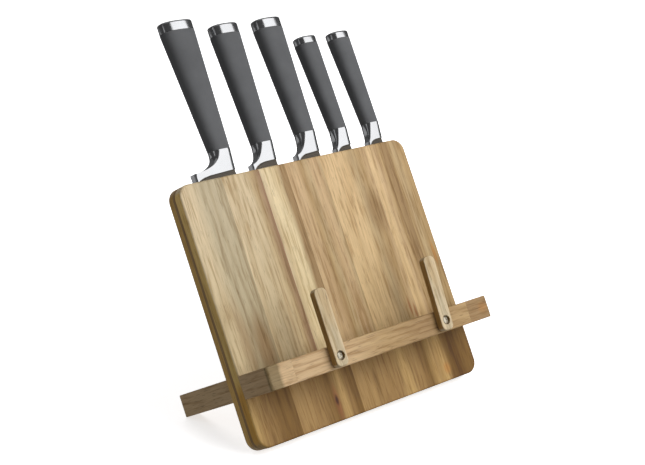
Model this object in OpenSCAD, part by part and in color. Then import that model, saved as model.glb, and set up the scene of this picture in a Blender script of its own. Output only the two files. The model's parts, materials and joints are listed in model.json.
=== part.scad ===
// Leaning wooden knife block with a book ledge, two page-holding arms and five knives.
// +Z is up and the front faces -Y. The origin is the centre of the bounding box's bottom face.
//
// Most parts are drawn in the block's own frame and then leaned back together: x runs along the
// block's width, y runs from its front face into its thickness, and z runs up its slope.

/* [Block] */
// Width of the block
block_w = 277; // [270:1:290]
// Height of the block, measured up its slope
block_h = 240; // [235:1:260]
// Thickness of the front layer
front_t = 8.5; // [7:0.5:12]
// Thickness of the middle layer, which is the width of the knife slots
slot_t = 3.5; // [3:0.1:4.5]
// Thickness of the back layer
back_t = 8; // [7:0.5:12]
// Radius of the four corners of the block's face
corner_r = 12; // [6:1:18]
// Radius along the block's front and back edges
edge_r = 2; // [1:0.5:3]
// Lean of the block, back from upright
lean_deg = 27.5; // [22:0.5:32]

/* [Ledge and legs] */
// Height of the ledge's underside, measured up the slope
ledge_z = 46; // [40:1:60]
// Thickness of the ledge and the legs
ledge_h = 21; // [16:1:25]
// Depth of the ledge in front of the block
ledge_d = 41; // [35:1:60]
// Thickness of the bar along the ledge's front
bar_t = 14; // [13:0.5:18]
// Width of the leg's head, which is the end of the ledge
head_w = 28.5; // [26:0.5:34]
// Distance of each leg from the side of the block
leg_inset = 7.5; // [6:0.5:10]
// Width of each leg behind the block
leg_w = 15; // [12:1:15]
// Diameter of the glued dowels
dowel_d = 8; // [6:1:8]

/* [Page arms] */
// Width of a page arm
arm_w = 14; // [12:1:18]
// Thickness of a page arm
arm_t = 7; // [5:0.2:9]
// Length of a page arm above its pivot
arm_reach = 61.5; // [40:0.5:64]
// Length of a page arm below its pivot
arm_tail = 9.5; // [8:0.5:10]
// Radius of a page arm's corners
arm_corner = 5; // [3:0.5:6.5]
// Place of the left arm's pivot, from the block's middle
left_pivot_x = -62; // [-75:0.5:-55]
// Place of the right arm's pivot, from the block's middle
right_pivot_x = 72; // [55:0.5:75]
// Tilt of the right arm, towards the right
right_arm_tilt = 3; // [0:1:10]
// Diameter of a pivot screw's shank
screw_d = 4.2; // [3.5:0.1:5]

/* [Knives] */
// Thickness of every blade
blade_t = 2.2; // [1.8:0.1:2.4]
// Thickness of a large grip where it meets the bolster
large_grip_t = 16; // [14:0.5:18]
// Thickness of a large grip where it meets the end cap
large_butt_t = 19; // [17:0.5:21]
// Thickness of a small grip where it meets the bolster
small_grip_t = 14; // [12:0.5:16]
// Thickness of a small grip where it meets the end cap
small_butt_t = 17; // [15:0.5:19]
// Thickness of a bolster at its heel
heel_t = 8.5; // [7:0.5:10]

/* [Hidden] */
$fn = 48;

block_t = front_t + slot_t + back_t;
half_w = block_w / 2;
blade_y = front_t + slot_t / 2;
slot_gap = 1.5;
tip_gap = 5;

// Joints between the staves of the front layer, from the block's left side
front_joints = [0, 49, 92.5, 123.5, 166.5, 225, 255.5, block_w];
back_staves = 6;

// Each knife: x of the spine, x of the heel, blade length, drop of the spine at the tip, curve of the
// edge, height of the heel, z of the grip's ends, z of the butt, x centres and widths of the grip
CHEF = [-64, -111.5, 200, 5, 2.4, 8.3, 265, 379.5, 390, -74.7, 21.4, -78.3, 35.5, true];
BREAD = [-14.1, -46.1, 200, 3, 14, 6, 264, 370.5, 381.5, -24.7, 21.2, -26, 31, true];
CARVING = [39.3, 8.4, 200, 4, 5, 6, 265.5, 370.5, 381.5, 29, 20.8, 26.2, 31.2, true];
UTILITY = [80.2, 58.3, 125, 3, 4, 4, 262.5, 350.2, 358.6, 71, 18.2, 66.5, 24, false];
PARING = [122.5, 101.4, 90, 3, 2.6, 4, 261.8, 350.2, 358.6, 113.6, 18, 109.3, 24.2, false];
KNIVES = [CHEF, BREAD, CARVING, UTILITY, PARING];

function spine_x(k) = k[0];
function heel_x(k) = k[1];
function blade_len(k) = k[2];
function tip_drop(k) = k[3];
function edge_power(k) = k[4];
function heel_h(k) = k[5];
function grip_low(k) = k[6];
function grip_high(k) = k[7];
function butt_z(k) = k[8];
function low_x(k) = k[9];
function low_w(k) = k[10];
function high_x(k) = k[11];
function high_w(k) = k[12];
function is_large(k) = k[13];
function low_t(k) = is_large(k) ? large_grip_t : small_grip_t;
function high_t(k) = is_large(k) ? large_butt_t : small_butt_t;
function slot_left(k) = heel_x(k) - slot_gap;
function slot_right(k) = spine_x(k) + slot_gap;
function slot_floor(k) = block_h - blade_len(k) - tip_gap;
deep_floor = slot_floor(CHEF);

// Ends of the legs and rest of the block: both touch z = 0 after leaning
lift = edge_r * (1 - cos(lean_deg)) + (block_t - edge_r) * sin(lean_deg);
leg_end_y = (ledge_z * cos(lean_deg) + lift) / sin(lean_deg);
leg_outer_x = half_w - leg_inset;
leg_inner_x = leg_outer_x - leg_w;
head_inner_x = half_w - head_w;

washer_t = 0.6;
washer_d = 10;
arm_gap = 0.05;
arm_back_y = -ledge_d - washer_t - arm_gap;
arm_front_y = arm_back_y - arm_t;
pivot_z = ledge_z + ledge_h / 2;
pivot_clearance = 0.08;
head_d = 7.8;
head_h = 2.4;
recess_d = 8.8;
recess_depth = 3.2;
screw_grip = 12;

// Front and back of the whole object after leaning, which centre it on the origin
front_reach = arm_front_y * cos(lean_deg) + (pivot_z - arm_tail) * sin(lean_deg);
back_reach = (blade_y + large_butt_t / 2) * cos(lean_deg) + butt_z(CHEF) * sin(lean_deg);
centre_y = -(front_reach + back_reach) / 2;

module leaned() {
    translate([0, centre_y, lift]) rotate([-lean_deg, 0, 0]) children();
}

// ---- Outlines ----

module round_rect(w, h, r) {
    translate([r, 0]) square([w - 2 * r, h]);
    translate([0, r]) square([w, h - 2 * r]);
    for (x = [r, w - r], y = [r, h - r]) translate([x, y]) circle(r);
}

module section(w, t, r) {
    translate([-w / 2, -t / 2]) round_rect(w, t, r);
}

// Draws an x-z outline as a plate from y = from_y to y = to_y
module plate(from_y, to_y) {
    translate([0, to_y, 0]) rotate([90, 0, 0]) linear_extrude(to_y - from_y) children();
}

// Draws a y-z outline as a bar from x = from_x to x = to_x
module bar(from_x, to_x) {
    translate([from_x, 0, 0]) rotate([90, 0, 90]) linear_extrude(to_x - from_x) children();
}

module box(from, to) {
    translate(from) cube(to - from);
}

// ---- Block ----

module block_solid() {
    intersection() {
        plate(0, block_t) translate([-half_w, 0]) round_rect(block_w, block_h, corner_r);
        bar(-half_w, half_w) round_rect(block_t, block_h, edge_r);
        linear_extrude(block_h) translate([-half_w, 0]) round_rect(block_w, block_t, edge_r);
    }
}

module leg_holes() {
    for (x = [-leg_outer_x, leg_inner_x])
        box([x, -1, ledge_z], [x + leg_w, block_t + 1, ledge_z + ledge_h]);
}

module block_part(from_x, to_x, from_y, to_y, from_z = 0, to_z = block_h) {
    difference() {
        intersection() {
            block_solid();
            box([from_x, from_y, from_z], [to_x, to_y, to_z]);
        }
        leg_holes();
        shelf_dowels();
    }
}

module front_stave(i, tint) {
    color(tint) leaned()
        block_part(front_joints[i - 1] - half_w, front_joints[i] - half_w, 0, front_t);
}

module back_stave(i) {
    w = block_w / back_staves;
    color("peru") leaned()
        block_part((i - 1) * w - half_w, i * w - half_w, front_t + slot_t, block_t);
}

// Strip i fills the middle layer between slot i - 1 and slot i
module slot_spacer(i) {
    from_x = i == 1 ? -half_w : slot_right(KNIVES[i - 2]);
    to_x = i == 6 ? half_w : slot_left(KNIVES[i - 1]);
    color("sienna") leaned()
        block_part(from_x, to_x, front_t, front_t + slot_t, deep_floor);
}

module bottom_spacer() {
    color("sienna") leaned()
        block_part(-half_w, half_w, front_t, front_t + slot_t, 0, deep_floor);
}

// Fills the foot of a short knife's slot up to just below its tip
module slot_stop(k) {
    color("sienna") leaned()
        block_part(slot_left(k), slot_right(k), front_t, front_t + slot_t, deep_floor, slot_floor(k));
}

// ---- Ledge and legs ----

dowel_z = ledge_z + ledge_h / 2;
shelf_dowel_x = [-78, 0, 78];
dowel_in_block = 6.5;
dowel_in_shelf = 20;
dowel_in_bar = 15;
ledge_edge = 1.2;
ledge_corner = 3;

// Rectangle with its two corners at x = 0 rounded
module front_rounded(w, h, r) {
    translate([r, 0]) square([w - r, h]);
    translate([0, r]) square([r + 0.01, h - 2 * r]);
    for (y = [r, h - r]) translate([r, y]) circle(r);
}

// Ledge with rounded front edges, before it is divided into its bar, shelf and heads
module ledge_part(from_x, to_x, from_y, to_y) {
    intersection() {
        bar(-half_w, half_w) translate([-ledge_d, ledge_z])
            front_rounded(ledge_d, ledge_h, ledge_edge);
        translate([half_w, -ledge_d, ledge_z]) rotate([0, 0, 90]) linear_extrude(ledge_h)
            front_rounded(ledge_d, block_w, ledge_corner);
        box([from_x, from_y, ledge_z], [to_x, to_y, ledge_z + ledge_h]);
    }
}

module shelf_dowels() {
    for (x = shelf_dowel_x) translate([x, -dowel_in_shelf, dowel_z]) rotate([-90, 0, 0])
        cylinder(h = dowel_in_shelf + dowel_in_block, d = dowel_d);
}

module bar_dowels() {
    for (x = [-head_inner_x, head_inner_x])
        translate([x - dowel_in_bar, -ledge_d + bar_t / 2, dowel_z]) rotate([0, 90, 0])
            cylinder(h = 2 * dowel_in_bar, d = dowel_d);
}

module ledge_dowels() {
    color("burlywood") leaned() {
        shelf_dowels();
        bar_dowels();
    }
}

module ledge_front_bar() {
    color("tan") leaned() difference() {
        ledge_part(-head_inner_x, head_inner_x, -ledge_d, -ledge_d + bar_t);
        bar_dowels();
        for (x = [left_pivot_x, right_pivot_x]) screw_shank(x);
    }
}

module ledge_shelf() {
    color("tan") leaned() difference() {
        ledge_part(-head_inner_x, head_inner_x, -ledge_d + bar_t, 0);
        shelf_dowels();
    }
}

// The head is the end of the ledge, and its shoulders stop the leg at the block's front face
module leg(side) {
    color("dimgray") leaned() difference() {
        mirror([side < 0 ? 1 : 0, 0, 0]) union() {
            ledge_part(head_inner_x, half_w, -ledge_d, 0);
            box([leg_inner_x, -1, ledge_z], [leg_outer_x, leg_end_y, ledge_z + ledge_h]);
        }
        bar_dowels();
    }
}

// ---- Page arms ----

module on_pivot(x) {
    translate([x, 0, pivot_z]) children();
}

module page_arm(x, tilt) {
    color("wheat") leaned() on_pivot(x) rotate([0, tilt, 0]) difference() {
        plate(arm_front_y, arm_back_y) translate([-arm_w / 2, -arm_tail])
            round_rect(arm_w, arm_reach + arm_tail, arm_corner);
        along_pivot(arm_front_y - 1, arm_back_y + 1, screw_d / 2 + pivot_clearance);
        along_pivot(arm_front_y - 1, arm_front_y + recess_depth, recess_d / 2);
    }
}

module along_pivot(from_y, to_y, r) {
    translate([0, from_y, 0]) rotate([-90, 0, 0]) cylinder(h = to_y - from_y, r = r);
}

module screw_shank(x) {
    on_pivot(x) along_pivot(arm_front_y + recess_depth - 1, -ledge_d + screw_grip, screw_d / 2);
}

// Round head with a cross recess, seated in the arm's counterbore
module pivot_screw(x) {
    seat_y = arm_front_y + recess_depth - 0.1;
    dome_r = (pow(head_d / 2, 2) + pow(head_h, 2)) / (2 * head_h);
    color("silver") leaned() {
        screw_shank(x);
        on_pivot(x) difference() {
            intersection() {
                along_pivot(seat_y - head_h, seat_y, head_d / 2);
                translate([0, seat_y - head_h + dome_r, 0]) sphere(dome_r);
            }
            for (a = [0, 90]) rotate([0, a, 0])
                box([-2, seat_y - head_h - 1, -0.4], [2, seat_y - head_h + 1.2, 0.4]);
        }
    }
}

module pivot_washers() {
    color("white") leaned() for (x = [left_pivot_x, right_pivot_x]) on_pivot(x) difference() {
        along_pivot(-ledge_d - washer_t, -ledge_d, washer_d / 2);
        along_pivot(-ledge_d - 1, -ledge_d + 1, screw_d / 2 + 0.3);
    }
}

// ---- Knives ----

steps = 16;
blade_root = 13;
heel_root = 4;
tang_w = 10;
arch_h = 6.5;
arch_foot = 2;

// Edge side from heel to tip, with t from 0 to 1 down the blade
function edge_side(k) = [for (i = [0:steps]) let (t = i / steps) [
    heel_x(k) + 0.6 + (spine_x(k) - tip_drop(k) - heel_x(k) - 0.6) * pow(t, edge_power(k)),
    block_h - blade_len(k) * t]];

// Spine side from near the tip back up
function spine_side(k) = [for (i = [steps - 1:-1:0]) let (t = i / steps) [
    spine_x(k) - 0.4 - (tip_drop(k) - 0.4) * pow(t, 6),
    block_h - blade_len(k) * t]];

module blade_plate(k) {
    tang_top = grip_high(k) - 3;
    plate(blade_y - blade_t / 2, blade_y + blade_t / 2) polygon(concat(
        [[heel_x(k) + 0.6, block_h + heel_root]],
        edge_side(k),
        spine_side(k),
        [[spine_x(k) - 0.4, block_h + blade_root],
         [low_x(k) + tang_w / 2, block_h + blade_root],
         [low_x(k) + tang_w / 2, tang_top],
         [low_x(k) - tang_w / 2, tang_top],
         [low_x(k) - tang_w / 2, block_h + blade_root - 3]]));
}

module knife_blade(k) {
    color("gainsboro") leaned() blade_plate(k);
}

// Hollow sweep from the grip's corner out to the heel
function sweep(k) = let (left = low_x(k) - low_w(k) / 2, top = grip_low(k) - 4, heel_z = block_h + heel_h(k))
    [for (i = [0:8]) let (t = i / 8) [
        left * (1 - t * t) + heel_x(k) * t * t,
        top * pow(1 - t, 2) + (heel_z + 2) * 2 * t * (1 - t) + heel_z * t * t]];

// Underside of the bolster, rising from the heel's foot to the spine
function arch(k) = [for (i = [0:8]) let (t = i / 8) [
    heel_x(k) + arch_foot + (spine_x(k) - heel_x(k) - arch_foot) * t,
    block_h + arch_h * (1 - pow(1 - t, 3))]];

module bolster(k) {
    left = low_x(k) - low_w(k) / 2;
    right = low_x(k) + low_w(k) / 2;
    top = grip_low(k);
    color("silver") leaned() difference() {
        intersection() {
            plate(blade_y - low_t(k) / 2, blade_y + low_t(k) / 2) polygon(concat(
                [[right, top], [left, top]],
                sweep(k),
                [[heel_x(k), block_h]],
                arch(k)));
            bar(heel_x(k) - 1, right + 5) translate([blade_y, 0]) polygon([
                [-low_t(k) / 2, top], [low_t(k) / 2, top],
                [low_t(k) / 2, top - 6], [heel_t / 2, block_h + 7], [heel_t / 2, block_h - 1],
                [-heel_t / 2, block_h - 1], [-heel_t / 2, block_h + 7], [-low_t(k) / 2, top - 6]]);
        }
        blade_plate(k);
    }
}

module grip(k) {
    slab = 0.1;
    color([0.36, 0.36, 0.37]) leaned() difference() {
        hull() {
            translate([low_x(k), blade_y, grip_low(k)]) linear_extrude(slab)
                section(low_w(k), low_t(k), low_t(k) / 2 - 1.5, $fn = 32);
            translate([high_x(k), blade_y, grip_high(k) - slab]) linear_extrude(slab)
                section(high_w(k), high_t(k), high_t(k) / 2 - 1.5, $fn = 32);
        }
        blade_plate(k);
    }
}

module end_cap(k) {
    crown_r = 3 * high_w(k);
    color("silver") leaned() intersection() {
        translate([high_x(k), blade_y, grip_high(k)]) linear_extrude(butt_z(k) - grip_high(k))
            section(high_w(k), high_t(k), high_t(k) / 2 - 1.5);
        translate([high_x(k), 0, butt_z(k) - crown_r]) rotate([-90, 0, 0])
            cylinder(h = 2 * block_t, r = crown_r, $fn = 96);
    }
}

// ---- Nodes ----

front_stave(1, "tan");  // front_stave_1
front_stave(2, "burlywood");  // front_stave_2
front_stave(3, "wheat");  // front_stave_3
front_stave(4, "burlywood");  // front_stave_4
front_stave(5, "peru");  // front_stave_5
front_stave(6, "goldenrod");  // front_stave_6
front_stave(7, "burlywood");  // front_stave_7
back_stave(1);  // back_stave_1
back_stave(2);  // back_stave_2
back_stave(3);  // back_stave_3
back_stave(4);  // back_stave_4
back_stave(5);  // back_stave_5
back_stave(6);  // back_stave_6
slot_spacer(1);  // slot_spacer_1
slot_spacer(2);  // slot_spacer_2
slot_spacer(3);  // slot_spacer_3
slot_spacer(4);  // slot_spacer_4
slot_spacer(5);  // slot_spacer_5
slot_spacer(6);  // slot_spacer_6
bottom_spacer();
slot_stop(UTILITY);  // utility_slot_stop
slot_stop(PARING);  // paring_slot_stop
ledge_front_bar();
ledge_shelf();
leg(-1);  // left_leg
leg(1);  // right_leg
ledge_dowels();
page_arm(left_pivot_x, 0);  // left_page_arm
page_arm(right_pivot_x, right_arm_tilt);  // right_page_arm
pivot_screw(left_pivot_x);  // left_pivot_screw
pivot_screw(right_pivot_x);  // right_pivot_screw
pivot_washers();
knife_blade(CHEF);  // chef_blade
bolster(CHEF);  // chef_bolster
grip(CHEF);  // chef_grip
end_cap(CHEF);  // chef_end_cap
knife_blade(BREAD);  // bread_blade
bolster(BREAD);  // bread_bolster
grip(BREAD);  // bread_grip
end_cap(BREAD);  // bread_end_cap
knife_blade(CARVING);  // carving_blade
bolster(CARVING);  // carving_bolster
grip(CARVING);  // carving_grip
end_cap(CARVING);  // carving_end_cap
knife_blade(UTILITY);  // utility_blade
bolster(UTILITY);  // utility_bolster
grip(UTILITY);  // utility_grip
end_cap(UTILITY);  // utility_end_cap
knife_blade(PARING);  // paring_blade
bolster(PARING);  // paring_bolster
grip(PARING);  // paring_grip
end_cap(PARING);  // paring_end_cap
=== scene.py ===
import json
import math

import bmesh
import bpy
from mathutils import Matrix, Vector


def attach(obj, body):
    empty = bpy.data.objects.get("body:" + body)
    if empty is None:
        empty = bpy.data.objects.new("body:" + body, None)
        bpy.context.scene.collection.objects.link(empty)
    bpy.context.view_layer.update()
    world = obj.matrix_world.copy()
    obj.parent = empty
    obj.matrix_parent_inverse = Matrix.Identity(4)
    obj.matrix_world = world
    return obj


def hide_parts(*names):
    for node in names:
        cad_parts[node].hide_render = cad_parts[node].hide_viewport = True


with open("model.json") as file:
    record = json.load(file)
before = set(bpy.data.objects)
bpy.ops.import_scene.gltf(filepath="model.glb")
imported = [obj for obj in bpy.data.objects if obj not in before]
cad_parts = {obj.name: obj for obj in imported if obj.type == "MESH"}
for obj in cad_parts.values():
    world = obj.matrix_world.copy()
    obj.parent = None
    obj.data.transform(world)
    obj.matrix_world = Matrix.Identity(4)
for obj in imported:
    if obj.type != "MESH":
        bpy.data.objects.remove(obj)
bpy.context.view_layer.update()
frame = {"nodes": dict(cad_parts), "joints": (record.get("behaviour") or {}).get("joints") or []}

# Leaning knife block with a book ledge, two page arms and five knives.
# Lengths are in metres. MM turns millimetres into metres.
MM = 0.001
# Lengths closer than this count as equal
SAME = 1e-7
KNIVES = ["chef", "bread", "carving", "utility", "paring"]

# ---------------------------------------------------------------------------------------------
# The block's own frame: x along its width, n from its front face into its thickness, u up its slope
# ---------------------------------------------------------------------------------------------

joints = {j["name"]: j for j in frame["joints"]}
UP = Vector(joints["chef_knife_slide"]["axis"]).normalized()
INTO = Vector((0, UP.z, -UP.y))
TURN = Matrix((Vector((1, 0, 0)), INTO, UP))


def turned_box(node):
    """Lowest and highest corner of a CAD node, along x, n and u, before the frame's origin is set."""
    points = [TURN @ v.co for v in frame["nodes"][node].data.vertices]
    return (
        Vector([min(p[i] for p in points) for i in range(3)]),
        Vector([max(p[i] for p in points) for i in range(3)]),
    )


front_low = turned_box("front_stave_4")[0]
ORIGIN = Vector((0, front_low.y, front_low.z))
SLOPE = Matrix.Translation(TURN.transposed() @ ORIGIN) @ TURN.transposed().to_4x4()


def slope_points(node):
    return [TURN @ v.co - ORIGIN for v in frame["nodes"][node].data.vertices]


def slope_box(node):
    low, high = turned_box(node)
    return low - ORIGIN, high - ORIGIN


def end_box(node, top):
    """Box of a CAD node's vertices at its top or bottom end, along x, n and u."""
    points = slope_points(node)
    ends = [p.z for p in points]
    level = max(ends) if top else min(ends)
    near = [p for p in points if abs(p.z - level) < 0.3 * MM]
    return (
        Vector([min(p[i] for p in near) for i in range(3)]),
        Vector([max(p[i] for p in near) for i in range(3)]),
    )


BLOCK_W = slope_box("front_stave_7")[1].x - slope_box("front_stave_1")[0].x
BLOCK_H = slope_box("front_stave_4")[1].z
BLOCK_T = slope_box("back_stave_3")[1].y
CORNER_R = 12 * MM
EDGE_R = 2 * MM

# ---------------------------------------------------------------------------------------------
# Node materials
# ---------------------------------------------------------------------------------------------


def srgb(r, g, b):
    """Linear colour from 0-255 display values."""
    def linear(c):
        c /= 255
        return c / 12.92 if c <= 0.04045 else ((c + 0.055) / 1.055) ** 2.4
    return (linear(r), linear(g), linear(b), 1.0)


class Nodes:
    """Short names for making and linking one material's shader nodes."""

    def __init__(self, name):
        self.material = bpy.data.materials.new(name)
        self.material.use_nodes = True
        self.tree = self.material.node_tree
        self.shader = self.tree.nodes["Principled BSDF"]

    def make(self, kind, inputs=None, **settings):
        node = self.tree.nodes.new(kind)
        for key, value in settings.items():
            setattr(node, key, value)
        for key, value in (inputs or {}).items():
            self.put(node, key, value)
        return node

    def put(self, node, key, value):
        if isinstance(value, bpy.types.NodeSocket):
            self.tree.links.new(value, node.inputs[key])
        else:
            node.inputs[key].default_value = value

    def place(self, grain):
        """Position with its third axis along the grain: u, x or n of the block's frame."""
        coord = self.make("ShaderNodeTexCoord").outputs["Object"]
        back = SLOPE.inverted()
        mapping = self.make("ShaderNodeMapping", {
            "Vector": coord,
            "Rotation": back.to_euler(),
            "Location": back.to_translation(),
        })
        if grain == "u":
            return mapping.outputs[0]
        parts = self.make("ShaderNodeSeparateXYZ", {0: mapping.outputs[0]}).outputs
        order = {"x": (1, 2, 0), "n": (0, 2, 1)}[grain]
        swap = self.make("ShaderNodeCombineXYZ", {i: parts[k] for i, k in enumerate(order)})
        return swap.outputs[0]

    def noise(self, vector, scale, detail=2.0, roughness=0.5, distortion=0.0, stretch=None):
        if stretch:
            vector = self.make("ShaderNodeMapping", {"Vector": vector, "Scale": stretch}).outputs[0]
        return self.make("ShaderNodeTexNoise", {
            "Vector": vector, "Scale": scale, "Detail": detail,
            "Roughness": roughness, "Distortion": distortion,
        }).outputs[0]

    def ramp(self, fac, stops):
        node = self.make("ShaderNodeValToRGB", {0: fac})
        ramp = node.color_ramp
        while len(ramp.elements) < len(stops):
            ramp.elements.new(0.5)
        for element, (at, colour) in zip(ramp.elements, stops):
            element.position = at
            element.color = colour
        return node.outputs[0]

    def grey_ramp(self, fac, low, high, dark, light=1.0):
        return self.ramp(fac, [(low, (dark, dark, dark, 1)), (high, (light, light, light, 1))])

    def math(self, operation, a, b=0.0, clamp=False):
        return self.make("ShaderNodeMath", {0: a, 1: b}, operation=operation, use_clamp=clamp).outputs[0]

    def blend(self, a, b, fac, mode="MIX"):
        node = self.make("ShaderNodeMix", data_type="RGBA", blend_type=mode)
        for key, value in (("Factor_Float", fac), ("A_Color", a), ("B_Color", b)):
            socket = next(s for s in node.inputs if s.identifier == key)
            if isinstance(value, bpy.types.NodeSocket):
                self.tree.links.new(value, socket)
            else:
                socket.default_value = value
        return next(s for s in node.outputs if s.identifier == "Result_Color")

    def finish(self, **sockets):
        for key, value in sockets.items():
            self.put(self.shader, key.replace("_", " "), value)
        return self.material

    def bump(self, height, strength, distance):
        return self.make("ShaderNodeBump", {
            "Height": height, "Strength": strength, "Distance": distance,
        }).outputs[0]


# Wood tones, as 0-255 display colours
TONES = {
    "cream": (225, 205, 165),
    "bone": (215, 195, 160),
    "oat": (210, 190, 155),
    "putty": (190, 175, 145),
    "honey": (215, 185, 140),
    "straw": (200, 170, 130),
    "tan": (190, 165, 125),
    "caramel": (180, 150, 105),
    "nut": (160, 130, 90),
    "olive": (140, 120, 85),
    "umber": (145, 115, 75),
    "plum": (150, 115, 90),
    "bark": (120, 90, 45),
    "walnut": (100, 70, 25),
    "amber": (190, 130, 60),
    "rust": (140, 85, 45),
    "knot": (60, 30, 15),
}
# Painted light with a golden tint: multiplies the tones below the ledge, lightening their painted shade to
# make up for the ledge's own shadow there
FOOT_PAINTED_LIGHT_TINT = (1.25, 1.2, 1.0, 1.0)
# Heights up the slope between which the foot's painted shade gives way, and over which the painted shade on
# the front fades out
SHADED_FOOT_SPAN = (50 * MM, 64 * MM)
PAINTED_FALLOFF_SPAN = (70 * MM, 215 * MM)
# Depths between which a leg head's front skin begins
SKIN_SPAN = (-39.6 * MM, -39.9 * MM)


def tone(name):
    return srgb(*TONES[name])


def tone_stops(names):
    """Colour stops at even steps from a line of tone names."""
    names = names.split()
    return [(i / (len(names) - 1), tone(name)) for i, name in enumerate(names)]


def wood(name, grain, tones, low, high, seed, axis=0, foot=None, spots=(), streak=0.5, side=None, painted_falloff=1.0):
    """Oiled acacia.

    tones names the tones in even steps from low to high along one axis of the grain's own frame.
    foot names those below the ledge, darker there as painted shade of the ledge over the wood's
    own tones. spots are (centre, radii, tone, strength) in millimetres of the block's frame. side is a
    colour that faces towards -x and +x are multiplied by, as painted light or shade with a tint, and
    painted_falloff darkens the wood down to that share at the ledge, as painted shade.
    """
    n = Nodes(name)
    place = n.place(grain)
    if grain == "n":
        # The skin of a leg's head shows the grain of the bar that it continues
        depth = n.make("ShaderNodeSeparateXYZ", {0: n.place("u")}).outputs[1]
        skin = n.make("ShaderNodeMapRange", {0: depth, 1: SKIN_SPAN[0], 2: SKIN_SPAN[1]}).outputs[0]
        place = n.blend(place, n.place("x"), skin)
    local = n.make("ShaderNodeMapping", {
        "Vector": place, "Location": (seed * 0.37, seed * 0.53, seed * 0.11)}).outputs[0]
    parts = n.make("ShaderNodeSeparateXYZ", {0: place}).outputs
    frame_place = n.place("u")
    up = n.make("ShaderNodeSeparateXYZ", {0: frame_place}).outputs[2]

    # Broad tones across the board, whose borders wander along the grain
    wander = n.math("SUBTRACT", n.noise(local, 16.0, 2, 0.5, stretch=(1.0, 1.0, 0.6)), 0.5)
    ripple = n.math("SUBTRACT", n.noise(local, 90.0, 2, 0.5, stretch=(1.0, 1.0, 0.25)), 0.5)
    shift = n.math("ADD", n.math("MULTIPLY", wander, 4 * MM), n.math("MULTIPLY", ripple, 1.5 * MM))
    across = n.make("ShaderNodeMapRange", {
        0: n.math("ADD", parts[axis], shift), 1: low, 2: high, 3: 0.0, 4: 1.0,
    }).outputs[0]
    colour = n.ramp(across, tone_stops(tones))
    # Painted shade under the ledge: darker tones below it, partly lightened again by painted light
    if foot:
        below = n.blend(n.ramp(across, tone_stops(foot)), FOOT_PAINTED_LIGHT_TINT, 1.0, "MULTIPLY")
        above = n.make("ShaderNodeMapRange", {0: up, 1: SHADED_FOOT_SPAN[0], 2: SHADED_FOOT_SPAN[1]}).outputs[0]
        colour = n.blend(below, colour, above)
    # Painted shade: the front darkens towards the ledge, and warms there as blue drops faster
    if painted_falloff < 1.0:
        level = n.make("ShaderNodeMapRange", {
            0: up, 1: PAINTED_FALLOFF_SPAN[0], 2: PAINTED_FALLOFF_SPAN[1], 3: painted_falloff, 4: 1.0,
        }).outputs[0]
        blue = n.math("POWER", level, 1.5)
        painted_shade = n.make("ShaderNodeCombineColor", {0: level, 1: level, 2: blue}).outputs[0]
        colour = n.blend(colour, painted_shade, 1.0, "MULTIPLY")

    # Clouds, streaks and knots
    if spots:
        warp = n.make("ShaderNodeCombineXYZ", {0: n.math("MULTIPLY", n.math("ADD", wander, ripple), 4 * MM)})
        warped = n.make("ShaderNodeVectorMath", {0: frame_place, 1: warp.outputs[0]},
                        operation="ADD").outputs[0]
    for centre, radii, spot, strength in spots:
        scale = [1 / (r * MM) for r in radii]
        inside = n.make("ShaderNodeMapping", {
            "Vector": warped, "Scale": scale, "Location": [-c * MM * k for c, k in zip(centre, scale)]})
        distance = n.make("ShaderNodeVectorMath", {0: inside.outputs[0]}, operation="LENGTH").outputs["Value"]
        mask = n.make("ShaderNodeMapRange", {0: distance, 1: 1.0, 2: 0.25, 3: 0.0, 4: strength},
                      interpolation_type="SMOOTHSTEP").outputs[0]
        colour = n.blend(colour, tone(spot), mask)

    # Growth bands, which follow the contours of a stretched noise, then streaks, fibres and pores
    contour = n.noise(local, 22.0, 1.5, 0.5, stretch=(1.0, 1.0, 0.13))
    phase = n.math("ADD", n.math("MULTIPLY", contour, 48.0), n.math("MULTIPLY", parts[0], 260.0))
    band = n.math("MULTIPLY", n.math("ADD", n.math("SINE", phase), 1.0), 0.5)
    colour = n.blend(colour, n.ramp(band, [
        (0.35, (1.03, 1.02, 1.0, 1)), (0.75, (0.93, 0.90, 0.85, 1)), (1.0, (0.78, 0.70, 0.58, 1)),
    ]), streak, "MULTIPLY")
    rays = n.noise(local, 420.0, 3, 0.6, 0.3, stretch=(1.0, 1.0, 0.07))
    colour = n.blend(colour, n.ramp(rays, [
        (0.36, (0.70, 0.62, 0.50, 1)), (0.48, (0.98, 0.97, 0.95, 1)), (0.64, (1.09, 1.09, 1.08, 1)),
    ]), 0.85, "MULTIPLY")
    fibres = n.noise(local, 1500.0, 3, 0.6, stretch=(1.0, 1.0, 0.045))
    colour = n.blend(colour, n.grey_ramp(fibres, 0.35, 0.62, 0.82, 1.04), 0.6, "MULTIPLY")
    pores = n.noise(local, 1300.0, 1, 0.5, stretch=(1.0, 1.0, 0.07))
    pore_mask = n.ramp(pores, [(0.66, (0, 0, 0, 1)), (0.73, (1, 1, 1, 1))])
    colour = n.blend(colour, (0.09, 0.045, 0.018, 1), n.math("MULTIPLY", pore_mask, 0.5))
    # Painted light or shade, with a tint, on the faces towards -x and +x, from the side colour
    if side:
        normal = n.make("ShaderNodeTexCoord").outputs["Normal"]
        facing = n.math("ABSOLUTE", n.make("ShaderNodeSeparateXYZ", {0: normal}).outputs[0])
        amount = n.make("ShaderNodeMapRange", {0: facing, 1: 0.75, 2: 0.97}, interpolation_type="SMOOTHSTEP")
        colour = n.blend(colour, n.blend(colour, srgb(*side), 1.0, "MULTIPLY"), amount.outputs[0])

    height = n.math("SUBTRACT", n.math("MULTIPLY", fibres, 0.5), pore_mask)
    rough = n.make("ShaderNodeMapRange", {0: fibres, 1: 0.3, 2: 0.7, 3: 0.46, 4: 0.62}).outputs[0]
    return n.finish(Base_Color=colour, Roughness=rough, Normal=n.bump(height, 0.3, 0.06 * MM),
                    Specular_IOR_Level=0.3)


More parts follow.
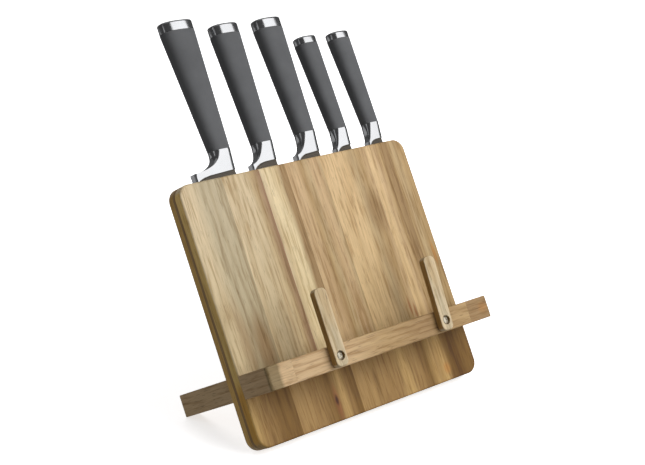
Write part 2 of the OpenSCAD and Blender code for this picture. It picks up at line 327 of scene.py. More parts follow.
def rubber(name):
    """Dark grey soft-touch grip."""
    n = Nodes(name)
    coord = n.make("ShaderNodeTexCoord").outputs["Object"]
    mottle = n.noise(coord, 45.0, 3, 0.6)
    grain = n.noise(coord, 2600.0, 2, 0.6)
    colour = n.ramp(mottle, [(0.3, srgb(85, 86, 88)), (0.7, srgb(93, 94, 96))])
    return n.finish(Base_Color=colour, Roughness=0.62, Normal=n.bump(grain, 0.25, 0.04 * MM),
                    Specular_IOR_Level=0.35, Sheen_Weight=0.15, Sheen_Roughness=0.5)


def steel(name, roughness, brushing, tint=(205, 206, 208), root=None, metallic=1.0):
    """Polished or finely brushed stainless steel, with the brushing across the blade.

    Above the height root the steel is painted dark, as painted shade where the bolster's arch leaves the
    blade open.
    """
    n = Nodes(name)
    place = n.place("x")
    lines = n.noise(place, 700.0, 2, 0.6, stretch=(1.0, 1.0, 0.02))
    rough = n.make("ShaderNodeMapRange", {
        0: lines, 1: 0.3, 2: 0.7, 3: roughness * (1 - brushing), 4: roughness * (1 + brushing),
    }).outputs[0]
    colour = n.ramp(n.noise(place, 30.0, 2), [
        (0.3, srgb(*[c - 6 for c in tint])), (0.7, srgb(*tint)),
    ])
    if root:
        up = n.make("ShaderNodeSeparateXYZ", {0: n.place("u")}).outputs[2]
        above = n.make("ShaderNodeMapRange", {0: up, 1: root - 1 * MM, 2: root + 0.5 * MM}).outputs[0]
        # Painted shade on the blade's root under the bolster's arch
        colour = n.blend(colour, srgb(74, 68, 60), above)
    return n.finish(Base_Color=colour, Metallic=metallic, Roughness=rough,
                    Normal=n.bump(lines, 0.03 + brushing * 0.1, 0.01 * MM))


def plastic(name):
    n = Nodes(name)
    coord = n.make("ShaderNodeTexCoord").outputs["Object"]
    colour = n.ramp(n.noise(coord, 300.0, 2), [(0.3, srgb(222, 221, 216)), (0.7, srgb(232, 231, 227))])
    return n.finish(Base_Color=colour, Roughness=0.5)


# ---------------------------------------------------------------------------------------------
# Mesh helpers
# ---------------------------------------------------------------------------------------------


def soften(bm, angle=35):
    """Smooth shading with edges sharper than angle kept crisp."""
    limit = math.radians(angle)
    for face in bm.faces:
        face.smooth = True
    for edge in bm.edges:
        edge.smooth = len(edge.link_faces) == 2 and edge.calc_face_angle(0) < limit


def to_object(name, bm, angle=35):
    """Object from a bmesh drawn in the block's frame."""
    bmesh.ops.recalc_face_normals(bm, faces=bm.faces)
    soften(bm, angle)
    bm.transform(SLOPE)
    mesh = bpy.data.meshes.new(name)
    bm.to_mesh(mesh)
    bm.free()
    obj = bpy.data.objects.new(name, mesh)
    bpy.context.scene.collection.objects.link(obj)
    return obj


def dress(obj, body, material, nodes):
    """Rides obj on its body, in place of its CAD nodes, with its material."""
    obj.data.materials.append(material)
    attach(obj, body)
    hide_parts(*nodes)
    weighted = obj.modifiers.new("even_normals", "WEIGHTED_NORMAL")
    weighted.keep_sharp = True
    return obj


def cut(obj, cutters):
    """Takes each cutter bmesh out of obj."""
    for bm in cutters:
        tool = to_object("cutter", bm)
        change = obj.modifiers.new("cut", "BOOLEAN")
        change.operation = "DIFFERENCE"
        change.solver = "EXACT"
        change.object = tool
        depsgraph = bpy.context.evaluated_depsgraph_get()
        mesh = bpy.data.meshes.new_from_object(obj.evaluated_get(depsgraph))
        obj.modifiers.clear()
        old = obj.data
        name = old.name
        obj.data = mesh
        bpy.data.meshes.remove(old)
        mesh.name = name
        bpy.data.objects.remove(tool)
    resharpen(obj)


def resharpen(obj, angle=35):
    bm = bmesh.new()
    bm.from_mesh(obj.data)
    soften(bm, angle)
    bm.to_mesh(obj.data)
    bm.free()


def box_mesh(low, high):
    bm = bmesh.new()
    bmesh.ops.create_cube(bm, size=1.0)
    size = Vector(high) - Vector(low)
    centre = (Vector(high) + Vector(low)) / 2
    for v in bm.verts:
        v.co = Vector((v.co[i] * size[i] + centre[i] for i in range(3)))
    return bm


def round_edges(bm, radius, segments=3):
    bmesh.ops.bevel(bm, geom=list(bm.edges), offset=radius, segments=segments, profile=0.5,
                    affect="EDGES", clamp_overlap=True)
    return bm


def add_ring(bm, points):
    return [bm.verts.new(p) for p in points]


def bridge(bm, a, b):
    count = len(a)
    for i in range(count):
        j = (i + 1) % count
        bm.faces.new((a[i], a[j], b[j], b[i]))


def loft(rings, caps=True):
    """Closed skin through rings of equal length."""
    bm = bmesh.new()
    made = [add_ring(bm, ring) for ring in rings]
    for a, b in zip(made, made[1:]):
        bridge(bm, a, b)
    if caps:
        bm.faces.new(list(reversed(made[0])))
        bm.faces.new(made[-1])
    return bm


def rounded_outline(width, height, radius, inset=0.0, steps=10):
    """Points round a rectangle from 0, 0 to width, height, pulled in by inset."""
    points = []
    corners = [(width - radius, radius, -90), (width - radius, height - radius, 0),
               (radius, height - radius, 90), (radius, radius, 180)]
    r = radius - inset
    for cx, cy, start in corners:
        for i in range(steps + 1):
            a = math.radians(start + 90 * i / steps)
            points.append((cx + r * math.cos(a), cy + r * math.sin(a)))
    return points


def slab(width, height, depth, radius, edge, steps=10, edge_steps=4):
    """Plate in the x-u plane from n = 0 to depth, with round corners and rounded front and back edges."""
    rings = []
    for i in range(edge_steps + 1):
        a = math.radians(90 * i / edge_steps)
        rings.append((edge * (1 - math.sin(a)), edge * (1 - math.cos(a))))
    rings += [(inset, depth - n) for inset, n in reversed(rings)]
    return loft([
        [(x, n, u) for x, u in rounded_outline(width, height, radius, inset, steps)]
        for inset, n in rings
    ])


def keep_between(bm, low, high):
    """Cuts a closed mesh down to a box, and closes the cuts."""
    for axis in range(3):
        for level, sign in ((low[axis], -1), (high[axis], 1)):
            normal = Vector((0, 0, 0))
            normal[axis] = sign
            spots = [v.co[axis] * sign for v in bm.verts]
            if max(spots) <= level * sign + SAME:
                continue
            point = Vector((0, 0, 0))
            point[axis] = level
            cut_geometry = bmesh.ops.bisect_plane(
                bm, geom=list(bm.verts) + list(bm.edges) + list(bm.faces), dist=SAME,
                plane_co=point, plane_no=normal, clear_outer=True)
            rim = [g for g in cut_geometry["geom_cut"] if isinstance(g, bmesh.types.BMEdge)]
            bmesh.ops.holes_fill(bm, edges=rim, sides=0)
    return bm


# ---------------------------------------------------------------------------------------------
# Block
# ---------------------------------------------------------------------------------------------


def tail_span(side):
    """x range of a leg where it goes through the block."""
    points = [p for p in slope_points(side + "_leg") if p.y > BLOCK_T]
    return min(p.x for p in points), max(p.x for p in points)


def leg_cutters(low, high):
    cutters = []
    for side in ("left", "right"):
        x0, x1 = tail_span(side)
        leg = slope_box(side + "_leg")
        if x1 > low.x and x0 < high.x and leg[1].z > low.z and leg[0].z < high.z:
            cutters.append(box_mesh((x0, -1 * MM, leg[0].z), (x1, BLOCK_T + MM, leg[1].z)))
    return cutters


def block_piece(node, material):
    """One stave or strip of the block, cut from the whole rounded block."""
    low, high = slope_box(node)
    bm = slab(BLOCK_W, BLOCK_H, BLOCK_T, CORNER_R, EDGE_R)
    bmesh.ops.translate(bm, vec=(-BLOCK_W / 2, 0, 0), verts=bm.verts)
    keep_between(bm, low, high)
    name = node + "_wood"
    obj = to_object(name, bm)
    cutters = leg_cutters(low, high)
    if cutters:
        cut(obj, cutters)
    return dress(obj, "block", material, [node])


# The seven front staves: tones across each from its left to its right, the same below the ledge but darker
# there as painted shade of the ledge, and its clouds, streaks and knots as (x, u, half width, half height,
# tone, strength).
FRONT = [
    {
        "tones": "bone bone putty putty putty",
        "foot": "caramel umber bark bark",
        "spots": [(-119, 95, 11, 48, "nut", 0.5), (-100, 84, 14, 46, "umber", 0.8)],
    },
    {
        "tones": "bone oat oat oat tan plum",
        "foot": "nut nut umber bark",
        "spots": [(-77, 188, 2.5, 12, "caramel", 0.6), (-62, 110, 3, 45, "caramel", 0.5),
                  (-48, 140, 2, 100, "bark", 0.4)],
    },
    {
        "tones": "oat cream cream cream nut nut",
        "foot": "bark umber caramel umber bark bark",
        "spots": [(-42, 16, 5, 24, "rust", 0.7), (-42, 19, 3, 7, "knot", 0.9)],
    },
    {
        "tones": "straw straw straw caramel tan straw straw tan",
        "foot": "nut nut nut umber nut umber",
        "spots": [(16, 160, 3, 50, "caramel", 0.5), (3, 95, 2.5, 34, "nut", 0.5),
                  (8, 22, 2, 24, "bark", 0.5)],
    },
    {
        "tones": "honey honey honey honey tan caramel straw",
        "foot": "nut nut caramel nut umber bark caramel",
        "spots": [(75, 176, 15, 32, "umber", 0.8), (79, 79, 2, 14, "rust", 0.7), (84, 73, 2, 12, "rust", 0.7),
                  (72, 115, 2.5, 40, "nut", 0.5), (40, 22, 2, 20, "bark", 0.5), (55, 20, 2, 26, "bark", 0.5)],
    },
    {
        "tones": "honey honey straw caramel nut nut",
        "foot": "nut caramel caramel bark walnut walnut",
        "spots": [(107, 165, 2, 80, "umber", 0.6), (112, 95, 2.5, 40, "bark", 0.6),
                  (99, 12, 6, 8, "amber", 0.6)],
    },
    {
        "tones": "caramel tan caramel caramel",
        "foot": "walnut bark bark bark",
        "spots": [(132, 122, 3, 17, "amber", 0.6), (121, 150, 2, 60, "nut", 0.5)],
    },
]
CORE_TONES = "nut caramel umber caramel"
BACK_TONES = "tan straw caramel straw"
# Painted light with a warmer tint: multiplies the colour of the side faces, and lightens it where it is above
# 255
SIDE_PAINTED_LIGHT_TINT = (284, 266, 205)
# Share of the front's brightness left at the ledge, as painted shade
FRONT_PAINTED_FALLOFF = 0.84


def make_block():
    for i, look in enumerate(FRONT):
        node = f"front_stave_{i + 1}"
        low, high = slope_box(node)
        spots = [((x, 0, u), (wide, 7, tall), colour, strength)
                 for x, u, wide, tall, colour, strength in look["spots"]]
        material = wood(f"front_acacia_{i + 1}", "u", look["tones"], low.x, high.x, i + 1.0,
                        foot=look["foot"], spots=spots, side=SIDE_PAINTED_LIGHT_TINT, painted_falloff=FRONT_PAINTED_FALLOFF)
        block_piece(node, material)
    for i in range(6):
        node = f"back_stave_{i + 1}"
        low, high = slope_box(node)
        material = wood(f"back_acacia_{i + 1}", "u", BACK_TONES, low.x, high.x, i + 11.0, side=SIDE_PAINTED_LIGHT_TINT)
        block_piece(node, material)
    core = wood("core_acacia", "u", CORE_TONES, -BLOCK_W / 2, BLOCK_W / 2, 31.0)
    strips = [f"slot_spacer_{i}" for i in range(1, 7)]
    for node in strips + ["bottom_spacer", "utility_slot_stop", "paring_slot_stop"]:
        block_piece(node, core)


# ---------------------------------------------------------------------------------------------
# Ledge and legs
# ---------------------------------------------------------------------------------------------

BAR_TONES = "straw straw caramel nut caramel"
LEDGE_EDGE = 1.2 * MM
LEDGE_CORNER = 3 * MM
LEG_EDGE = 0.6 * MM
GLUE_EDGE = 0.12 * MM
TOUCH = 0.001 * MM
LEFT_LEG = {
    "tones": "straw tan",
    "spots": [((-100, -20, 56), (30, 300, 300), "straw", 8.0),
              ((-134, -41.5, 56), (12, 5, 300), "olive", 2.0)],
}
RIGHT_LEG = {
    "tones": "nut nut",
    "spots": [((129, -41, 57), (9, 6, 7), "amber", 0.4),
              ((139, -41, 56), (6, 8, 30), "olive", 0.8)],
}


def edges_where(edges, test):
    """Edges whose two ends both pass test."""
    return [e for e in edges if all(test(v.co) for v in e.verts)]


def runs_along_x(edge):
    return abs(edge.verts[0].co.x - edge.verts[1].co.x) > MM


def round_some(bm, edges, radius, segments=4):
    bmesh.ops.bevel(bm, geom=edges, offset=radius, segments=segments, profile=0.5, affect="EDGES")


def make_ledge():
    low, high = slope_box("ledge_front_bar")
    bm = box_mesh(low, high)
    front = edges_where(bm.edges, lambda c: c.y < low.y + MM)
    round_some(bm, [e for e in front if runs_along_x(e)], LEDGE_EDGE)
    ends = edges_where(bm.edges, lambda c: abs(abs(c.x) - high.x) < TOUCH)
    round_some(bm, [e for e in ends if not runs_along_x(e)], GLUE_EDGE, 1)
    bar = to_object("ledge_front_bar_wood", bm)
    dress(bar, "block",
          wood("bar_acacia", "x", BAR_TONES, low.x, high.x, 41.0, axis=2, streak=0.4), ["ledge_front_bar"])
    low, high = slope_box("ledge_shelf")
    shelf = to_object("ledge_shelf_wood", round_edges(box_mesh(low, high), GLUE_EDGE, 1))
    dress(shelf, "block",
          wood("shelf_acacia", "x", BAR_TONES, low.x, high.x, 42.0, axis=2, streak=0.4), ["ledge_shelf"])
    make_leg("left", LEFT_LEG, 51.0)
    make_leg("right", RIGHT_LEG, 52.0)


def make_leg(side, look, seed):
    """A leg and its head: one T-shaped outline in x and n, raised to its thickness."""
    sign = -1 if side == "left" else 1
    low, high = slope_box(side + "_leg")
    tail = sorted(sign * x for x in tail_span(side))
    head = sorted((sign * low.x, sign * high.x))
    outline = [(head[0], low.y)]
    for i in range(9):
        a = math.radians(-90 + 90 * i / 8)
        outline.append((head[1] - LEDGE_CORNER + LEDGE_CORNER * math.cos(a),
                        low.y + LEDGE_CORNER + LEDGE_CORNER * math.sin(a)))
    outline += [(head[1], 0), (tail[1], 0), (tail[1], high.y), (tail[0], high.y), (tail[0], 0), (head[0], 0)]
    bm = loft([[(sign * x, n, u) for x, n in outline] for u in (low.z, high.z)])
    flat = [e for e in bm.edges if abs(e.verts[0].co.z - e.verts[1].co.z) < TOUCH]
    front = edges_where(flat, lambda c: c.y < low.y + LEDGE_CORNER + TOUCH)
    rest = [e for e in flat if e not in front and max(v.co.y for v in e.verts) > MM]
    round_some(bm, front, LEDGE_EDGE)
    round_some(bm, [e for e in rest if e.is_valid], LEG_EDGE, 2)
    obj = to_object(side + "_leg_wood", bm)
    material = wood(side + "_leg_acacia", "n", look["tones"], low.x, high.x, seed,
                    spots=look["spots"], streak=0.35)
    dress(obj, "block", material, [side + "_leg"])


# ---------------------------------------------------------------------------------------------
# Page arms and their screws
# ---------------------------------------------------------------------------------------------

ARM_TONES = "oat putty oat"
# Painted shade, with a yellow tint, on the arms' side faces
ARM_SIDE_PAINTED_SHADE_TINT = (205, 180, 132)
ARM_W = 14 * MM
ARM_TAIL = 9.5 * MM
ARM_L = 71 * MM
ARM_CORNER = 5 * MM
RECESS_R = 4.4 * MM
RECESS_DEPTH = 3.2 * MM
SCREW_R = 2.1 * MM
ARM_TILT = {"left": 0.0, "right": math.radians(3)}
HEAD_R = 3.9 * MM
HEAD_H = 2.4 * MM
HEAD_RIM = 0.5 * MM


def rod(x, u, from_n, to_n, radius, steps=32):
    """Cylinder along n."""
    circle = [(radius * math.cos(2 * math.pi * i / steps), radius * math.sin(2 * math.pi * i / steps))
              for i in range(steps)]
    return loft([[(x + a, n, u + b) for a, b in circle] for n in (from_n, to_n)])


def lathe(x, u, profile, steps=32):
    """Turns (radius, n) points about an axis along n; the first and last radius may be 0."""
    bm = bmesh.new()
    rings = []
    for r, n in profile:
        if r < 1e-7:
            rings.append([bm.verts.new((x, n, u))])
        else:
            rings.append(add_ring(bm, [
                (x + r * math.cos(2 * math.pi * i / steps), n, u + r * math.sin(2 * math.pi * i / steps))
                for i in range(steps)]))
    for a, b in zip(rings, rings[1:]):
        if len(a) == 1:
            for i in range(steps):
                bm.faces.new((a[0], b[(i + 1) % steps], b[i]))
        elif len(b) == 1:
            for i in range(steps):
                bm.faces.new((a[i], a[(i + 1) % steps], b[0]))
        else:
            bridge(bm, a, b)
    return bm


def make_arm(side):
    pivot = TURN @ Vector(joints[side + "_arm_pivot"]["pos_m"]) - ORIGIN
    low, high = slope_box(side + "_page_arm")
    tilt = ARM_TILT[side]
    bm = slab(ARM_W, ARM_L, high.y - low.y, ARM_CORNER, 0.9 * MM, 8, 3)
    bmesh.ops.translate(bm, vec=(-ARM_W / 2, low.y, -ARM_TAIL), verts=bm.verts)
    bm.transform(Matrix.Translation((pivot.x, 0, pivot.z)) @ Matrix.Rotation(tilt, 4, "Y"))
    obj = to_object(side + "_page_arm_wood", bm)
    cut(obj, [
        rod(pivot.x, pivot.z, low.y - MM, high.y + MM, SCREW_R + 0.1 * MM),
        rod(pivot.x, pivot.z, low.y - MM, low.y + RECESS_DEPTH, RECESS_R),
    ])
    dress(obj, side + "_arm",
          wood(side + "_arm_acacia", "u", ARM_TONES, pivot.x - ARM_W / 2, pivot.x + ARM_W / 2,
               61.0 + len(side), side=ARM_SIDE_PAINTED_SHADE_TINT, streak=0.3,
               spots=[((pivot.x / MM + 1, -48, 104), (7, 9, 30), "tan", 0.9)]), [side + "_page_arm"])
    make_screw(side, pivot, low.y + RECESS_DEPTH)


def make_screw(side, pivot, seat):
    low, high = slope_box(side + "_pivot_screw")
    angles = [math.radians(15 * i) for i in range(6)]
    dome = [(HEAD_R * math.cos(a), seat - HEAD_RIM - (HEAD_H - HEAD_RIM) * math.sin(a)) for a in angles]
    shank = [(0, high.y), (SCREW_R - 0.6 * MM, high.y), (SCREW_R, high.y - MM), (SCREW_R, seat)]
    profile = shank + [(HEAD_R, seat)] + dome + [(0, seat - HEAD_H)]
    obj = to_object(side + "_pivot_screw_steel", lathe(pivot.x, pivot.z, profile))
    cross = []
    for size in ((2.0, 0.4), (0.4, 2.0)):
        reach = Vector((size[0] * MM, 0, size[1] * MM))
        middle = Vector((pivot.x, 0, pivot.z))
        bm = box_mesh(middle - reach + Vector((0, seat - HEAD_H - MM, 0)),
                      middle + reach + Vector((0, seat - HEAD_H + 1.2 * MM, 0)))
        cross.append(bm)
    cut(obj, cross)
    dress(obj, "block", MATERIALS["screw"], [side + "_pivot_screw"])


# ---------------------------------------------------------------------------------------------
# Knives
# ---------------------------------------------------------------------------------------------


def section(centre, width, thick, u, inset=0.0, power=2.6, steps=56):
    """Superellipse across a handle at height u, pulled in by inset."""
    a, b = width / 2 - inset, thick / 2 - inset
    ring = []
    for i in range(steps):
        t = 2 * math.pi * (i + 0.5) / steps
        c, s = math.cos(t), math.sin(t)
        ring.append((centre.x + a * math.copysign(abs(c) ** (2 / power), c),
                     centre.y + b * math.copysign(abs(s) ** (2 / power), s), u))
    return ring


def handle_ends(knife):
    ends = []
    for top in (False, True):
        low, high = end_box(knife + "_grip", top)
        ends.append(((low + high) / 2, high.x - low.x, high.y - low.y))
    return ends


def make_grip(knife):
    (low_c, low_w, low_t), (high_c, high_w, high_t) = handle_ends(knife)
    rings = []
    count = 20
    for i in range(count + 1):
        t = i / count
        centre = low_c.lerp(high_c, t)
        width = low_w + (high_w - low_w) * t
        thick = low_t + (high_t - low_t) * t
        u = low_c.z + (high_c.z - low_c.z) * t
        if i == 0:
            rings.append(section(centre, width, thick, u, 0.35 * MM))
            u += 0.3 * MM
        if i == count:
            rings.append(section(centre, width, thick, u - 0.3 * MM))
            rings.append(section(centre, width, thick, u, 0.35 * MM))
        else:
            rings.append(section(centre, width, thick, u))
    obj = to_object(knife + "_grip_rubber", loft(rings), 50)
    dress(obj, knife + "_knife", MATERIALS["grip"], [knife + "_grip"])


def make_cap(knife):
    _, (centre, width, thick) = handle_ends(knife)
    low, high = slope_box(knife + "_end_cap")
    crown = 1.2 * MM
    edge = 1.8 * MM
    rings = [section(centre, width, thick, low.z, 0.5 * MM),
             section(centre, width, thick, low.z + 0.35 * MM, 0.15 * MM)]
    top = high.z - crown
    rings.append(section(centre, width, thick, top - edge, 0.15 * MM))
    for i in range(1, 6):
        a = math.radians(90 * i / 5)
        rings.append(section(centre, width, thick, top - edge * (1 - math.sin(a)),
                             0.15 * MM + edge * (1 - math.cos(a))))
    for share in (0.85, 0.7, 0.5, 0.3, 0.1):
        flat = section(centre, width, thick, top, 0.15 * MM + edge)
        rings.append([(centre.x + (x - centre.x) * share, centre.y + (n - centre.y) * share,
                       top + crown * (1 - share * share)) for x, n, _ in flat])
    obj = to_object(knife + "_end_cap_steel", loft(rings), 60)
    dress(obj, knife + "_knife", MATERIALS["polished"], [knife + "_end_cap"])


HEEL_H = {"chef": 8.3 * MM, "bread": 6 * MM, "carving": 6 * MM, "utility": 4 * MM, "paring": 4 * MM}
HEEL_T = 8.5 * MM
ARCH_FOOT = 2 * MM
ARCH_H = {"chef": 5 * MM, "bread": 6.5 * MM, "carving": 6 * MM, "utility": 5.5 * MM, "paring": 5.5 * MM}


def corner_ring(x0, x1, middle, half, left, right, u, steps=7):
    """Rounded rectangle at height u whose left and right corners have their own (x, n) radii."""
    corners = [
        (x0 + left[0], -half + left[1], left, 180), (x1 - right[0], -half + right[1], right, 270),
        (x1 - right[0], half - right[1], right, 0), (x0 + left[0], half - left[1], left, 90),
    ]
    ring = []
    for cx, cy, (rx, ry), start in corners:
        for i in range(steps + 1):
            a = math.radians(start + 90 * i / steps)
            ring.append((cx + rx * math.cos(a), middle + cy + ry * math.sin(a), u))
    return ring


def make_bolster(knife):
    """Polished bolster, from the grip's collar down through the sweep to the heel, over a hollow arch."""
    (collar, width, thick), _ = handle_ends(knife)
    heel_x = slope_box(knife + "_bolster")[0].x
    left, right = collar.x - width / 2, collar.x + width / 2
    spine = slope_box(knife + "_blade")[1].x + 0.4 * MM
    top = collar.z
    heel_top = BLOCK_H + HEEL_H[knife]
    arch_h = ARCH_H[knife]
    arch_top = BLOCK_H + arch_h

    # Rows of (u, left x), down the collar, the sweep and the heel's own face
    rows = [(top, left), (top - 1.3 * MM, left), (top - 2.6 * MM, left)]
    for i in range(29):
        t = i / 28
        rows.append(((top - 4 * MM) * (1 - t) ** 2 + (heel_top + 2 * MM) * 2 * t * (1 - t) + heel_top * t * t,
                     left * (1 - t * t) + heel_x * t * t))
    for i in range(1, 9):
        rows.append((heel_top + (BLOCK_H - heel_top) * i / 8, heel_x))

    rings = []
    for u, x0 in rows:
        if u > arch_top:
            x1 = spine + (right - spine) * (u - arch_top) / (top - arch_top)
        else:
            share = 1 - max(0, 1 - (u - BLOCK_H) / arch_h) ** (1 / 3)
            x1 = heel_x + ARCH_FOOT + (spine - heel_x - ARCH_FOOT) * share
        waist = min(1, max(0, (top - 1 * MM - u) / (top - 1 * MM - arch_top)))
        half = (thick + (HEEL_T - thick) * waist) / 2
        wide = x1 - x0
        corner = width * 0.33 * (1 - waist) ** 1.5 + 2.2 * MM * waist
        left_radii = (min(corner, wide * 0.45), half * (1 - waist) + 1.6 * MM * waist)
        right_radii = (min(width * 0.33, wide * 0.45), half * 0.9)
        rings.append(corner_ring(x0, x1, collar.y, half, left_radii, right_radii, u))
    obj = to_object(knife + "_bolster_steel", loft(rings), 45)
    dress(obj, knife + "_knife", MATERIALS["polished"], [knife + "_bolster"])


EDGE_T = 0.16 * MM
TANG_W = 10 * MM


def blade_rows(knife):
    """(u, edge x, spine x) at the CAD plate's corners, from the top of the blade down."""
    levels = {}
    for p in slope_points(knife + "_blade"):
        if p.z < BLOCK_H + 1 * MM:
            levels.setdefault(round(p.z, 5), []).append(p.x)
    rows = sorted(((u, min(xs), max(xs)) for u, xs in levels.items()), reverse=True)
    rows = [r for r in rows if r[2] - r[1] > 1.0 * MM]
    return rows


def make_blade(knife):
    """Blade ground from its spine to a thin edge, with its tang."""
    plate = slope_box(knife + "_blade")
    middle = (plate[0].y + plate[1].y) / 2
    full = plate[1].y - plate[0].y
    plate_sides = (plate[1].y, plate[0].y)
    rows = blade_rows(knife)
    rings = []
    count = 64
    length = rows[0][0] - plate[0].z
    for i in range(count + 1):
        u = rows[0][0] - length * i / count
        edge, spine = blade_width(rows, u, plate)
        if knife == "bread" and u < BLOCK_H - 6 * MM:
            edge += 0.5 * MM * abs(math.sin((BLOCK_H - u) / (6 * MM) * math.pi))
        thick = full / 2 * (1 - 0.45 * i / count)
        shoulder = spine - (spine - edge) * 0.38
        near, far = middle - thick, middle + thick
        rings.append([
            (edge, middle - EDGE_T / 2, u), (shoulder, near, u), (spine, near, u),
            (spine, far, u), (shoulder, far, u), (edge, middle + EDGE_T / 2, u),
        ])
    bm = loft(rings)
    # Root and tang: a plate behind the bolster's arch that narrows into the grip
    tang = handle_ends(knife)[0][0].x
    top, heel_edge, spine_top = rows[0]
    root = [
        (heel_edge, top), (heel_edge + 0.6 * MM, BLOCK_H + 4 * MM),
        (tang - TANG_W / 2, BLOCK_H + 10 * MM), (tang - TANG_W / 2, plate[1].z),
        (tang + TANG_W / 2, plate[1].z), (tang + TANG_W / 2, BLOCK_H + 13 * MM),
        (spine_top - 0.4 * MM, BLOCK_H + 13 * MM), (spine_top, top),
    ]
    plates = loft([[(x, n, u) for x, u in root] for n in plate_sides])
    mesh = bpy.data.meshes.new("tang")
    plates.to_mesh(mesh)
    plates.free()
    bm.from_mesh(mesh)
    bpy.data.meshes.remove(mesh)
    obj = to_object(knife + "_blade_steel", bm, 12)
    dress(obj, knife + "_knife", MATERIALS["blade"], [knife + "_blade"])


def blade_width(rows, u, plate):
    """Edge and spine x at height u, between the CAD rows; the tip closes to a point."""
    if u >= rows[0][0]:
        return rows[0][1], rows[0][2]
    for a, b in zip(rows, rows[1:]):
        if b[0] <= u <= a[0]:
            t = (a[0] - u) / (a[0] - b[0])
            return a[1] + (b[1] - a[1]) * t, a[2] + (b[2] - a[2]) * t
    last = rows[-1]
    t = min(1, (last[0] - u) / max(last[0] - plate[0].z, 1e-6))
    tip = last[2] - 0.3 * MM
    return last[1] + (tip - last[1]) * t, last[2] + (tip + 0.1 * MM - last[2]) * t


# ---------------------------------------------------------------------------------------------
# Studio
# ---------------------------------------------------------------------------------------------


def make_camera():
    data = bpy.data.cameras.new("photo_camera")
    data.sensor_width = 36.0
    data.lens = 83.72
    camera = bpy.data.objects.new("photo_camera", data)
    bpy.context.scene.collection.objects.link(camera)
    camera.location = (-0.8967, -0.9913, 0.5552)
    aim = Vector((0.01295, 0.0004, 0.15396)) - camera.location
    camera.rotation_euler = aim.to_track_quat("-Z", "Y").to_euler()
    data.clip_start = 0.05
    data.clip_end = 60.0
    bpy.context.scene.camera = camera


def make_sheet(name, size, location, aim, shine):
    """Flat rectangle that faces aim. shine is its emission."""
    bm = bmesh.new()
    bmesh.ops.create_grid(bm, x_segments=1, y_segments=1, size=0.5)
    for v in bm.verts:
        v.co.x *= size[0]
        v.co.y *= size[1]
    mesh = bpy.data.meshes.new(name)
    bm.to_mesh(mesh)
    bm.free()
    sheet = bpy.data.objects.new(name, mesh)
    bpy.context.scene.collection.objects.link(sheet)
    sheet.location = location
    sheet.rotation_euler = (Vector(aim) - Vector(location)).to_track_quat("Z", "Y").to_euler()
    n = Nodes(name)
    n.finish(Base_Color=(0.01, 0.01, 0.01, 1), Roughness=0.9, Emission_Color=(1, 1, 1, 1),
             Emission_Strength=shine)
    mesh.materials.append(n.material)
    return sheet, n


def make_light(name, size, power, location, aim):
    """Soft square light that reflections don't see."""
    data = bpy.data.lights.new(name, "AREA")
    data.size = size
    data.energy = power
    light = bpy.data.objects.new(name, data)
    bpy.context.scene.collection.objects.link(light)
    light.location = location
    light.rotation_euler = (aim - light.location).to_track_quat("-Z", "Y").to_euler()
    light.visible_glossy = False


def make_backdrop(radius, height):
    """Pale wall around the floor that only the camera sees."""
    angles = [math.pi * i / 32 for i in range(64)]
    rings = [[(radius * math.cos(a), radius * math.sin(a), z) for a in angles] for z in (-0.05, height)]
    bm = loft(rings, caps=False)
    mesh = bpy.data.meshes.new("backdrop")
    bm.to_mesh(mesh)
    bm.free()
    wall = bpy.data.objects.new("backdrop", mesh)
    bpy.context.scene.collection.objects.link(wall)
    n = Nodes("backdrop")
    n.finish(Base_Color=(0.01, 0.01, 0.01, 1), Roughness=0.9, Emission_Color=(1, 1, 1, 1),
             Emission_Strength=1.0)
    mesh.materials.append(n.material)
    wall.visible_diffuse = False
    wall.visible_glossy = False
    wall.visible_shadow = False
    wall.visible_transmission = False


def make_card(name, size, location, aim, shine):
    """Sheet that only reflections see."""
    card, _ = make_sheet(name, size, location, aim, shine)
    card.visible_camera = False
    card.visible_diffuse = False
    card.visible_shadow = False
    card.visible_transmission = False


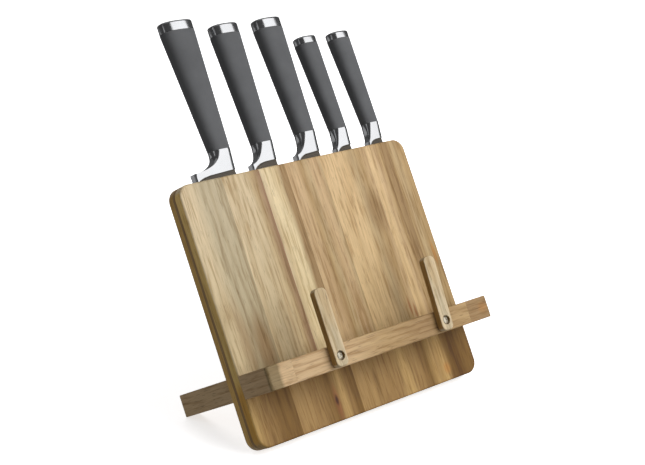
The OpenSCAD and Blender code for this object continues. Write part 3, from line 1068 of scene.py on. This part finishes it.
def make_studio():
    scene = bpy.context.scene
    scene.view_settings.view_transform = "Standard"
    world = bpy.data.worlds.new("studio")
    scene.world = world
    world.use_nodes = True
    world.node_tree.nodes["Background"].inputs[0].default_value = (1, 1, 1, 1)
    world.node_tree.nodes["Background"].inputs[1].default_value = 0.27

    floor, n = make_sheet("floor", (24, 24), (0, 0, 0), (0, 0, 1), 0.8)
    coord = n.make("ShaderNodeTexCoord").outputs["Object"]
    reach = n.make("ShaderNodeVectorMath", {0: coord}, operation="LENGTH").outputs["Value"]
    # Painted glow on the floor: weaker near the block so the shadows there show, full further out
    glow = n.make("ShaderNodeMapRange", {0: reach, 1: 0.3, 2: 1.3, 3: 0.64, 4: 1.0}).outputs[0]
    n.finish(Base_Color=(0.95, 0.95, 0.97, 1), Specular_IOR_Level=0.0, Emission_Strength=glow)
    floor.visible_diffuse = False
    floor.visible_glossy = False

    make_backdrop(11.0, 6.0)

    middle = Vector((0, 0, 0.13))
    make_light("key", 1.9, 41, middle + Vector((0.42, -0.74, 0.52)) * 2, middle)
    make_light("back_fill", 1.2, 12, middle + Vector((0.3, 0.8, 0.5)) * 2, middle)

    top = Vector((0, 0.05, 0.25))

    def around(azimuth, height, distance):
        """Point around the knives: azimuth in degrees to the right of the front."""
        a = math.radians(azimuth)
        return top + Vector((math.sin(a), -math.cos(a), height)) * distance

    make_card("soft_box", (1.2, 2.3), around(34, 0.3, 1.45), top, 1.5)
    make_card("side_card", (0.32, 0.5), around(-83, 0.2, 1.2), top, 0.42)
    make_card("heel_card", (0.4, 0.25), around(-141, -0.22, 1.1), top, 0.4)
    make_card("front_flag", (2.3, 3.0), around(-38, 0.3, 1.7), top, 0.06)
    make_card("left_flag", (2.6, 3.0), around(-112, 0.2, 1.7), top, 0.05)
    make_card("back_flag", (3.0, 3.0), around(175, 0.3, 1.7), top, 0.1)
    make_card("right_flag", (2.6, 3.0), around(100, 0.3, 1.9), top, 0.08)


# ---------------------------------------------------------------------------------------------
# Everything
# ---------------------------------------------------------------------------------------------

MATERIALS = {
    "grip": rubber("grey_grip"),
    "polished": steel("polished_steel", 0.16, 0.1),
    # The blade's root above BLOCK_H gets painted shade
    "blade": steel("blade_steel", 0.3, 0.35, (200, 202, 205), BLOCK_H, 0.6),
    "screw": steel("screw_nickel", 0.45, 0.1, (232, 224, 204)),
    "washer": plastic("nylon"),
}

make_block()
make_ledge()
for side in ("left", "right"):
    make_arm(side)
for knife in KNIVES:
    make_blade(knife)
    make_bolster(knife)
    make_grip(knife)
    make_cap(knife)

beech = wood("dowel_beech", "n", "oat honey", -BLOCK_W / 2, BLOCK_W / 2, 71.0)
for node, material in (("ledge_dowels", beech), ("pivot_washers", MATERIALS["washer"])):
    data = frame["nodes"][node].data
    data.materials.clear()
    data.materials.append(material)

make_camera()
make_studio()
